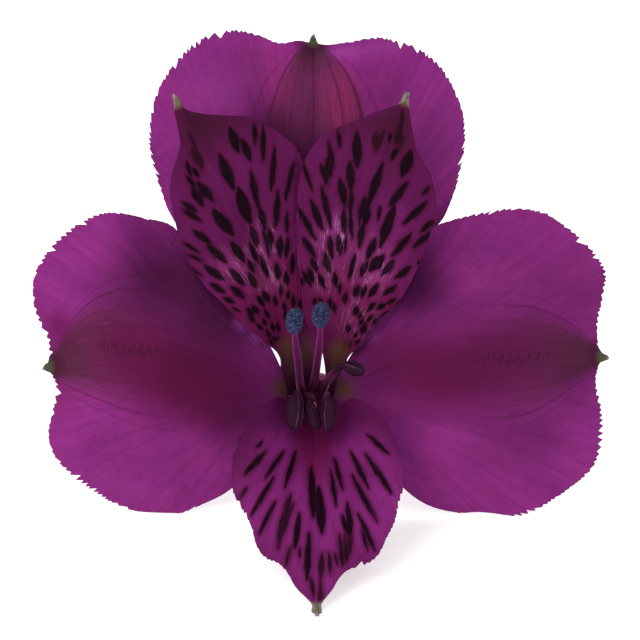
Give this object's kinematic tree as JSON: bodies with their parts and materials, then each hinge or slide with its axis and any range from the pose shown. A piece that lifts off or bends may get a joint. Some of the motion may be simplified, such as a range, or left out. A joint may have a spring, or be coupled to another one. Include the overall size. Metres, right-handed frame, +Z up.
{
  "type": "alstroemeria flower",
  "caption": "Open alstroemeria bloom, picked with its short stalk and lying face up: broad saw-edged outer petals, pointed streaked inner petals and dark stamens.",
  "frame": {"origin": "middle of the bounding box, on the surface that the flower lies on", "axes": "+Z up from the surface, -Y the way the bloom's face opens, +Y along the stalk to its cut end, +X to the right of someone who looks into the bloom"},
  "size_m": [0.0656, 0.0886, 0.0488],
  "materials": {
    "outer_tepal": "soft satin petal, magenta purple with maroon veins and a dark middle",
    "inner_tepal": "soft satin petal, dark magenta with nearly black streaks",
    "filament": "smooth, dark magenta",
    "closed_anther": "smooth, nearly black purple",
    "pollen_anther": "grainy blue-grey pollen",
    "ovary": "waxy ribbed green",
    "stalk": "waxy green with fine fibres"
  },
  "bodies": {
    "root": {"tepal_outer_top": "outer_tepal", "tepal_outer_left": "outer_tepal", "tepal_outer_right": "outer_tepal", "tepal_inner_left": "inner_tepal", "tepal_inner_right": "inner_tepal", "tepal_inner_lower": "inner_tepal", "filament_upper_left": "filament", "filament_upper_right": "filament", "filament_right": "filament", "filament_lower_left": "filament", "filament_lower_middle": "filament", "filament_lower_right": "filament", "anther_upper_left": "pollen_anther", "anther_upper_right": "pollen_anther", "anther_right": "closed_anther", "anther_lower_left": "closed_anther", "anther_lower_middle": "closed_anther", "anther_lower_right": "closed_anther", "style": "filament", "ovary": "ovary", "flower_stalk": "stalk"}
  },
  "joints": []
}
